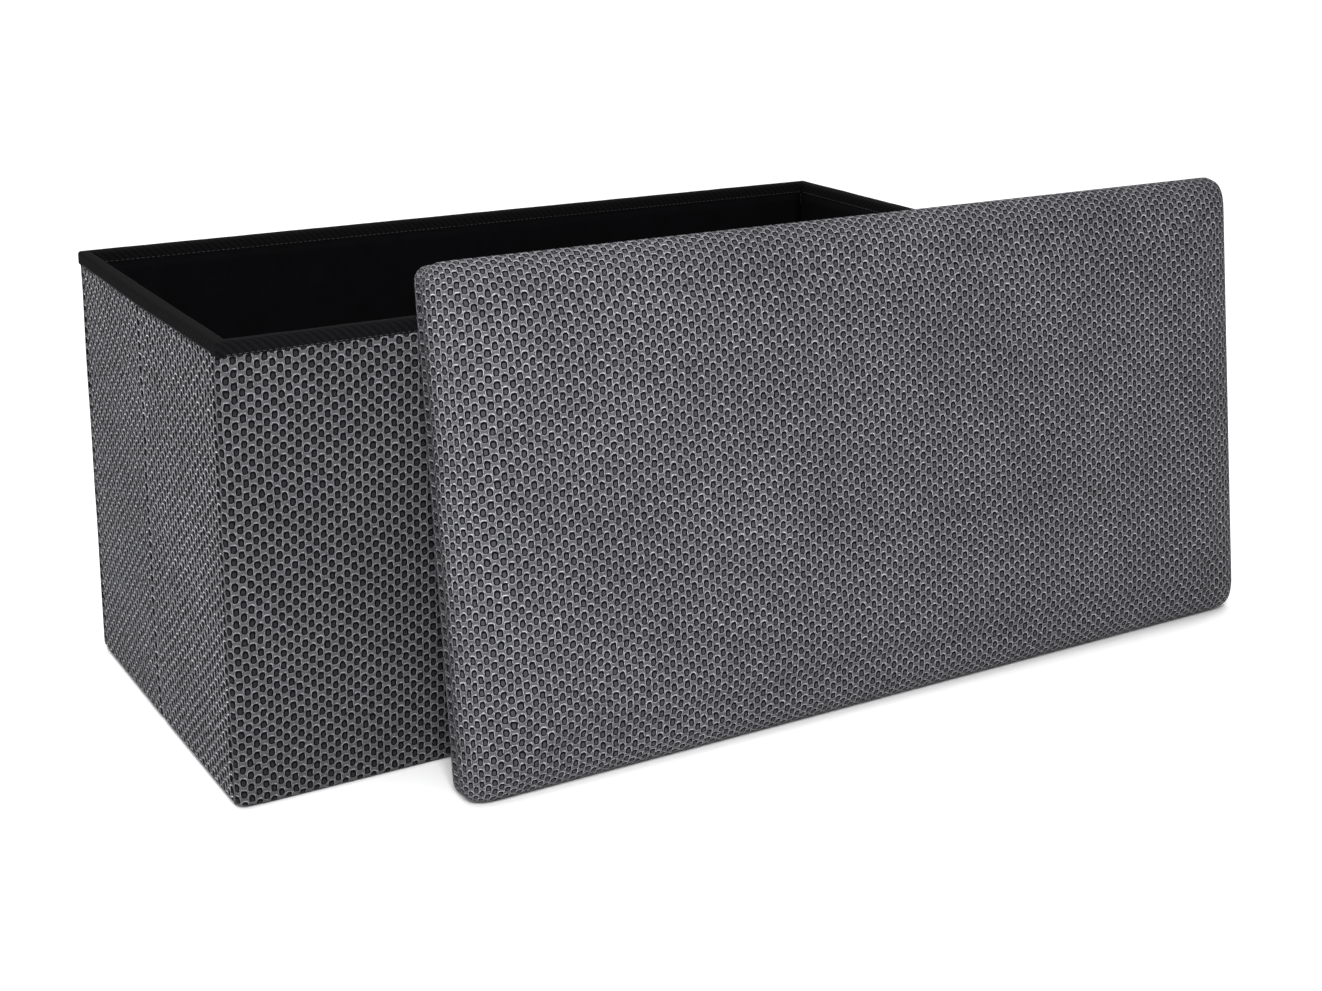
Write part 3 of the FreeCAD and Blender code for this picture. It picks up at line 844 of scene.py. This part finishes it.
for name, end in (("left", -1), ("right", 1)):
    outer, inner = end * (half_length + TAPE_PROUD), end * (half_length - wall - TAPE_PROUD)
    low_x, high_x = sorted((outer, inner))
    reach = inner_y + TAPE_BUTT

    def bow(y, x):
        outward = 1.0 if abs(x) > half_length - wall / 2 else INNER_BOW
        return end * outward * FOLD_BULGE * max(0, 1 - abs(y) / inner_y)

    rim = tape_bar(f"{name}_rim_binding", (0, -reach), (0, reach), (low_x, rim_foot),
                   (high_x, top), TAPE_ROUND, FINE_STEP, black_tape, seed=end + 6, bow=bow)
    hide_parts(f"{name}_rear_rim", f"{name}_front_rim")
    across_fold(rim)
    for label, x, out in (("outer", outer, end), ("inner", inner, -end)):
        bowed = x + bow(0, x)
        for half, y in (("rear", inner_y - END_STITCH_MARGIN), ("front", -inner_y + END_STITCH_MARGIN)):
            row = stitch_row(f"{name}_{half}_{label}_stitching", (x, y, stitch_z),
                             (bowed, 0, stitch_z), (out, 0, 0), sewing_thread)
            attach(row, f"{name}_{half}_half")


# ---------------------------------------------------------------- underside sheet and base
# The underside is one sheet of the same non-woven, stretched inside the foot of the walls. The
# base is a fibreboard panel in a sewn non-woven wrapping that lies on it, with a ribbon to lift it
# by and a tape hinge at the back.

CURL_CUTS = 3


def soft_slab(name, low, high, radius, cuts, material, lift=None):
    """A thin slab with rounded edges, cut into a grid. lift raises a point of its faces."""
    xs = np.linspace(low[0] + radius, high[0] - radius, cuts[0])
    ys = np.linspace(low[1] + radius, high[1] - radius, cuts[1])
    curl = [(radius * math.sin(a), radius * (1 - math.cos(a)))
            for a in np.linspace(0, math.pi / 2, CURL_CUTS + 1)[1:]]
    xs = np.concatenate(([low[0] + radius - o for o, _ in reversed(curl)], xs,
                         [high[0] - radius + o for o, _ in curl]))
    ys = np.concatenate(([low[1] + radius - o for o, _ in reversed(curl)], ys,
                         [high[1] - radius + o for o, _ in curl]))
    drop_x = np.concatenate(([d for _, d in reversed(curl)], np.zeros(cuts[0]), [d for _, d in curl]))
    drop_y = np.concatenate(([d for _, d in reversed(curl)], np.zeros(cuts[1]), [d for _, d in curl]))
    columns, rows = len(xs), len(ys)
    vertices = []
    for face in (1, -1):
        for j, y in enumerate(ys):
            for i, x in enumerate(xs):
                drop = min(radius, drop_x[i] + drop_y[j])
                swell = lift(x, y, face) if lift and drop == 0 else 0.0
                z = high[2] - drop if face > 0 else low[2] + drop
                vertices.append((x, y, z + swell))
    faces = []
    sheet = columns * rows
    for j in range(rows - 1):
        for i in range(columns - 1):
            a = j * columns + i
            faces.append((a, a + 1, a + columns + 1, a + columns))
            faces.append((sheet + a, sheet + a + columns, sheet + a + columns + 1, sheet + a + 1))
    edge = [i for i in range(columns)] + [j * columns + columns - 1 for j in range(1, rows)]
    edge += [(rows - 1) * columns + i for i in range(columns - 2, -1, -1)]
    edge += [j * columns for j in range(rows - 2, 0, -1)]
    for a, b in zip(edge, edge[1:] + edge[:1]):
        faces.append((b, a, sheet + a, sheet + b))
    return new_piece(name, vertices, faces, material)


sheet_low, sheet_high = (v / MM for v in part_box("bottom_sheet"))
bottom = soft_slab("underside_sheet", sheet_low, sheet_high, radius=0.3, cuts=(60, 30),
                   material=black_lining)
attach(bottom, "rear_wall")
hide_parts("bottom_sheet")

# Folded flat, the box is four walls and two gaps deep.
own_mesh(bottom)

wrap_low, wrap_high = (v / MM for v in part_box("base_wrap"))
WRAP_SIZE = 60.0
WRAP_WANDER = 0.25
WRAP_PLANE = 4.0


def loose_wrap(x, y, face):
    """The upper side of the wrapping, face 1, wanders a little over the board."""
    if face < 0:
        return 0.0
    return noise.noise(Vector((x / WRAP_SIZE, y / WRAP_SIZE, WRAP_PLANE))) * WRAP_WANDER


base = soft_slab("base_wrapping", wrap_low, wrap_high, radius=1.6, cuts=(90, 44),
                 material=black_lining, lift=loose_wrap)
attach(base, "base_panel")
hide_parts("base_wrap")

EDGE_SEAM = 9.0
THREAD_PROUD = 0.1
seam_z = wrap_high.z + THREAD_PROUD


def rectangle(x_low, y_low, x_high, y_high):
    """The corners of a rectangle, in order."""
    return [(x_low, y_low), (x_high, y_low), (x_high, y_high), (x_low, y_high)]


seam_corners = rectangle(wrap_low.x + EDGE_SEAM, wrap_low.y + EDGE_SEAM,
                         wrap_high.x - EDGE_SEAM, wrap_high.y - EDGE_SEAM)
for number, (a, b) in enumerate(zip(seam_corners, seam_corners[1:] + seam_corners[:1]), start=1):
    row = stitch_row(f"base_seam_{number}", (*a, seam_z), (*b, seam_z), (0, 0, 1), sewing_thread)
    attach(row, "base_panel")


RIBBON_RIB = "2a2a2f"
GROSGRAIN_PITCH_MM = 2.6


def ribbon_material(name):
    """Black grosgrain ribbon: ribs across it with a dull shine, drawn 2.6 mm apart so that they
    show. At scale 1 a wave along an axis repeats every tenth of pi."""
    material, tree, surface = new_material(name)
    where = add(tree, "ShaderNodeTexCoord")
    ribs = add(tree, "ShaderNodeTexWave",
               {"Vector": where.outputs["Object"], "Scale": math.pi / 10 / (GROSGRAIN_PITCH_MM * MM)},
               wave_type="BANDS", bands_direction="Y")
    black = add(tree, "ShaderNodeMix",
                {"Factor": ribs.outputs["Fac"], "A": linear(BINDING_BLACK), "B": linear(RIBBON_RIB)},
                data_type="RGBA")
    tree.links.new(black.outputs["Result"], surface.inputs["Base Color"])
    relief = add(tree, "ShaderNodeBump",
                 {"Strength": 0.6, "Distance": 0.3 * MM, "Height": ribs.outputs["Fac"]})
    tree.links.new(relief.outputs[0], surface.inputs["Normal"])
    surface.inputs["Roughness"].default_value = 0.55
    surface.inputs["Sheen Weight"].default_value = 0.2
    return material


grosgrain = ribbon_material("grosgrain_ribbon")
tab_low, tab_high = (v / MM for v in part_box("base_pull_tab"))
RIBBON_SEWN = 20
RIBBON_RISE = 35.0
RIBBON_LIFT = 0.9
CUP_DEPTH = 0.3
CUP_SIZE = 4.0


def ribbon_wave(x, y, face):
    """The free end of the ribbon lifts a little off the base."""
    free = np.clip((y - tab_low.y - RIBBON_SEWN) / RIBBON_RISE, 0, 1)
    return RIBBON_LIFT * free * (1 + CUP_DEPTH * math.sin(x / CUP_SIZE))


tab = soft_slab("base_ribbon", tab_low, tab_high, radius=0.3, cuts=(10, 24), material=grosgrain,
                lift=ribbon_wave)
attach(tab, "base_panel")
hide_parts("base_pull_tab")
BOX_STITCH = 14.0
BOX_MARGIN = 4
tab_z = tab_high.z + THREAD_PROUD
box_corners = rectangle(tab_low.x + BOX_MARGIN, tab_low.y + BOX_MARGIN,
                        tab_high.x - BOX_MARGIN, tab_low.y + BOX_MARGIN + BOX_STITCH)
lines = list(zip(box_corners, box_corners[1:] + box_corners[:1]))
lines += [(box_corners[0], box_corners[2]), (box_corners[1], box_corners[3])]
for number, (a, b) in enumerate(lines, start=1):
    row = stitch_row(f"ribbon_stitching_{number}", (*a, tab_z), (*b, tab_z), (0, 0, 1), sewing_thread)
    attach(row, "base_panel")

# Tape hinge: glued up the rear lining and along the back of the base, bending between the two.
TAPE_THICKNESS = 0.5
TAPE_SETBACK = 0.35
TAPE_BEND = 1.6
TAPE_ROW_STEP = 2.0
tape_low, tape_high = (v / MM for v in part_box("base_hinge_tape"))
tape_z = tape_low.z + TAPE_THICKNESS / 2
back_y = tape_high.y - TAPE_SETBACK
tape_route = [(tape_low.y, tape_z), (back_y, tape_z), (back_y, tape_high.z)]
tape_places = rounded_path(tape_route, TAPE_BEND, TAPE_ROW_STEP)[0]
tape_columns = 80
tape_xs = np.linspace(tape_low.x, tape_high.x, tape_columns)
tape_vertices = [(x, y, z) for y, z in tape_places for x in tape_xs]
tape_faces = grid_faces(tape_columns, len(tape_places))
hinge_tape = new_piece("base_tape_hinge", tape_vertices, tape_faces, black_tape)
thicken(hinge_tape, TAPE_THICKNESS, 0)
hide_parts("base_hinge_tape")
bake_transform(hinge_tape)


# ---------------------------------------------------------------- lid
# The lid is a board with a foam pad under tight air mesh. The mesh is drawn round the edges, turned
# under the board and stapled, and a black dust cover is stapled over it. It stands on one long
# edge and leans back on the front wall.

board_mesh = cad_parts["lid_board"].data
largest = max(board_mesh.polygons, key=lambda p: p.area)
lid_out = largest.normal.copy() if largest.normal.y < 0 else -largest.normal
lid_right = Vector((1, 0, 0))
lid_up = lid_out.cross(lid_right).normalized()
skin_points = [v.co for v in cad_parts["lid_cover"].data.vertices]
lid_origin = (
    lid_right * min(p.dot(lid_right) for p in skin_points)
    + lid_up * min(p.dot(lid_up) for p in skin_points)
    + lid_out * min(p.dot(lid_out) for p in skin_points)
)
lid_place = Matrix.Identity(4)
for column, axis in enumerate((lid_right, lid_up, lid_out)):
    lid_place.col[column] = (*axis, 0)
lid_place.col[3] = (*lid_origin, 1)
lid_length, lid_depth, lid_thickness = (
    (max(p.dot(axis) for p in skin_points) - min(p.dot(axis) for p in skin_points)) / MM
    for axis in (lid_right, lid_up, lid_out)
)

# The lid reads a little paler than the walls, so its mesh has a paler set of greys. As on the
# # walls, the ring grey is painted shade and the yarn grey carries a painted highlight.
LID_GREYS = {"net": "4f4f52", "yarn_and_highlight": "b2b2b7", "ring": "020203", "tuft": "3e3e41"}
stretched_mesh = air_mesh("stretched_air_mesh", LID_GREYS)

BOARD_LEVEL = 12.0
SIDE_ROOM = 0.3
FACE_ROOM = 2.0
EDGE_ROUND = 20.0
BOARD_CORNER = 8.0
FACE_CORNER = 25.0
VOXEL_MM = 5.5
SWELL_CAP_MM = 6.0
SIDE_BULGE_MM = 3.5
PRESSURE = 4.0
CLOTH_FRAMES = 20
FOOT_CHAMFER = 1.0
BOARD_GAP = 0.1
ROUND_CUTS = 8
CORNER_START = 0.25
SIDE_FADE = 4.0
FACE_CLEARANCE = 6.0
FACE_FADE = 8.0
TIGHT_BAND = 5.5
crown = lid_thickness - FACE_ROOM


def pad_blank():
    """The pad before it swells. At the board its outline is the board's, with tight corners. It is
    drawn in a little above that and has a rounded upper edge and rounder corners."""
    levels = [(FOOT_CHAMFER, 0.0, BOARD_CORNER), (BOARD_GAP, FOOT_CHAMFER, BOARD_CORNER),
              (BOARD_GAP, BOARD_LEVEL, BOARD_CORNER)]
    for a in np.linspace(0, math.pi / 2, ROUND_CUTS + 1):
        share = a / (math.pi / 2)
        inset = SIDE_ROOM + EDGE_ROUND * (1 - math.cos(a))
        opened = CORNER_START + (1 - CORNER_START) * share
        corner = BOARD_CORNER + (FACE_CORNER - BOARD_CORNER) * opened
        levels.append((inset, crown - EDGE_ROUND * (1 - math.sin(a)), corner))
    ring = 4 * (ROUND_CUTS + 1)
    vertices, faces = [], []
    for inset, z, radius in levels:
        for corner in range(4):
            cx = lid_length - inset - radius if corner in (0, 3) else inset + radius
            cy = lid_depth - inset - radius if corner in (0, 1) else inset + radius
            for k in range(ROUND_CUTS + 1):
                angle = (corner + k / ROUND_CUTS) * math.pi / 2
                vertices.append((cx + math.cos(angle) * radius, cy + math.sin(angle) * radius, z))
    for s in range(len(levels) - 1):
        for k in range(ring):
            n = (k + 1) % ring
            faces.append((s * ring + k, s * ring + n, (s + 1) * ring + n, (s + 1) * ring + k))
    faces.append(tuple(range(ring))[::-1])
    faces.append(tuple((len(levels) - 1) * ring + k for k in range(ring)))
    return new_piece("lid_padded_cover", vertices, faces, stretched_mesh)


def unrolled(mesh):
    """Flat cloth coordinates of the pad, as if its sides were folded out from the top."""
    u, v = [], []
    for vertex in mesh.vertices:
        p, n = vertex.co / MM, vertex.normal
        down = max(0.0, crown - p.z)
        u.append(p.x + n.x * down)
        v.append(p.y + n.y * down)
    return u, v


pad = pad_blank()
remesh = pad.modifiers.new("remesh", "REMESH")
remesh.mode = "VOXEL"
remesh.voxel_size = VOXEL_MM * MM
remesh.use_smooth_shade = True
settled(pad)
pad.data.materials.clear()
pad.data.materials.append(stretched_mesh)
before = np.array([v.co for v in pad.data.vertices])
weave_u, weave_v = unrolled(pad.data)
outward = np.array([v.normal for v in pad.data.vertices])
held = pad.vertex_groups.new(name="stapled")
held.add([i for i, p in enumerate(before) if p[2] < (BOARD_LEVEL + 1) * MM], 1.0, "REPLACE")
cloth = pad.modifiers.new("cloth", "CLOTH")
cloth.settings.vertex_group_mass = "stapled"
cloth.settings.use_pressure = True
cloth.settings.uniform_pressure_force = PRESSURE
cloth.settings.effector_weights.gravity = 0
cloth.settings.tension_stiffness = 12
cloth.settings.compression_stiffness = 12
cloth.settings.bending_stiffness = 2
cloth.settings.quality = 6
cloth.point_cache.frame_start = 1
cloth.point_cache.frame_end = CLOTH_FRAMES
for step in range(1, CLOTH_FRAMES + 1):
    scene.frame_set(step)
settled(pad)
scene.frame_set(1)
after = np.array([v.co for v in pad.data.vertices])
swell = np.sum((after - before) * outward, axis=1)

# The foam holds the cover out, so the cover only ever moves outwards from the blank.
cap = SWELL_CAP_MM * MM
swell = cap * np.tanh(np.maximum(swell, 0) / cap)
side = np.clip((before[:, 2] / MM - BOARD_LEVEL) / SIDE_FADE, 0, 1)
below_face = np.clip((lid_thickness - FACE_CLEARANCE - before[:, 2] / MM) / FACE_FADE, 0, 1)
swell += SIDE_BULGE_MM * MM * side * below_face
shaped = before + outward * swell[:, None] * side[:, None]

# Below the board's face the cover is stretched tight round the board's edge.
on_board = before[:, 2] < BOARD_LEVEL * MM
inner = np.array([BOARD_CORNER, BOARD_CORNER]) * MM
outer = np.array([lid_length - BOARD_CORNER, lid_depth - BOARD_CORNER]) * MM
nearest_point = np.clip(shaped[:, :2], inner, outer)
arm = shaped[:, :2] - nearest_point
reach = np.linalg.norm(arm, axis=1)
tight = on_board & (reach > (BOARD_CORNER - TIGHT_BAND) * MM)
shaped[tight, :2] = (
    nearest_point[tight] + arm[tight] / reach[tight, None] * (BOARD_CORNER - BOARD_GAP) * MM
)
pad.data.vertices.foreach_set("co", shaped.ravel())
add_weave(pad.data, weave_u, weave_v)
finer = pad.modifiers.new("finer", "SUBSURF")
finer.levels = 1
settled(pad)
for polygon in pad.data.polygons:
    polygon.use_smooth = True
pad.data.transform(lid_place)
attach(pad, "lid")
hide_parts("lid_cover", "lid_foam")

# Dust cover: a rectangle of non-woven, taken to be cut to the lid's outline with 12 mm folded in
# all round. The staples draw its edge into shallow scallops. The folded-in strip isn't drawn.
DUST_INSET = 12.0
DUST_THICKNESS = 0.9
DUST_LEVEL = -0.9
STAPLE_PITCH = 44.0
PULL_REACH = 14
PULL = 0.8
DUST_SIZE = 70
DUST_WANDER = 0.12
DUST_PLANE = 9
DUST_FADE = 20
dust_columns, dust_rows = 150, 76
dust_vertices = []
for j in range(dust_rows):
    for i in range(dust_columns):
        x = DUST_INSET + (lid_length - 2 * DUST_INSET) * i / (dust_columns - 1)
        y = DUST_INSET + (lid_depth - 2 * DUST_INSET) * j / (dust_rows - 1)
        edge_x = min(x - DUST_INSET, lid_length - DUST_INSET - x)
        edge_y = min(y - DUST_INSET, lid_depth - DUST_INSET - y)
        near_x = math.exp(-edge_x / PULL_REACH)
        near_y = math.exp(-edge_y / PULL_REACH)
        pull_x = math.cos((y - lid_depth / 2) / STAPLE_PITCH * 2 * math.pi) * near_x
        pull_y = math.cos((x - lid_length / 2) / STAPLE_PITCH * 2 * math.pi) * near_y
        x += math.copysign(PULL, x - lid_length / 2) * (pull_x - near_x) / -2
        y += math.copysign(PULL, y - lid_depth / 2) * (pull_y - near_y) / -2
        settle = noise.noise(Vector((x / DUST_SIZE, y / DUST_SIZE, DUST_PLANE))) * DUST_WANDER
        dust_vertices.append((x, y, DUST_LEVEL + settle * min(1, min(edge_x, edge_y) / DUST_FADE)))
dust_faces = [(a, d, c, b) for a, b, c, d in grid_faces(dust_columns, dust_rows)]
dust_cover = new_piece("lid_dust_cover", dust_vertices, dust_faces, black_lining)
thicken(dust_cover, DUST_THICKNESS, -1)
dust_cover.data.transform(lid_place)
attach(dust_cover, "lid")
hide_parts("lid_lining")

# Staples: galvanised steel wire, bright but scuffed.
ZINC_DULL = "9a9c9d"
ZINC_BRIGHT = "c9cacb"
galvanised, tree, surface = new_material("galvanised_staple_wire")
where = add(tree, "ShaderNodeTexCoord")
scuff = add(tree, "ShaderNodeTexNoise", {"Vector": where.outputs["Object"], "Scale": 1800.0})
zinc = add(tree, "ShaderNodeMix",
           {"Factor": scuff.outputs[0], "A": linear(ZINC_DULL), "B": linear(ZINC_BRIGHT)},
           data_type="RGBA")
tree.links.new(zinc.outputs["Result"], surface.inputs["Base Color"])
surface.inputs["Metallic"].default_value = 1.0
surface.inputs["Roughness"].default_value = 0.35
repaint("lid_staples", galvanised)
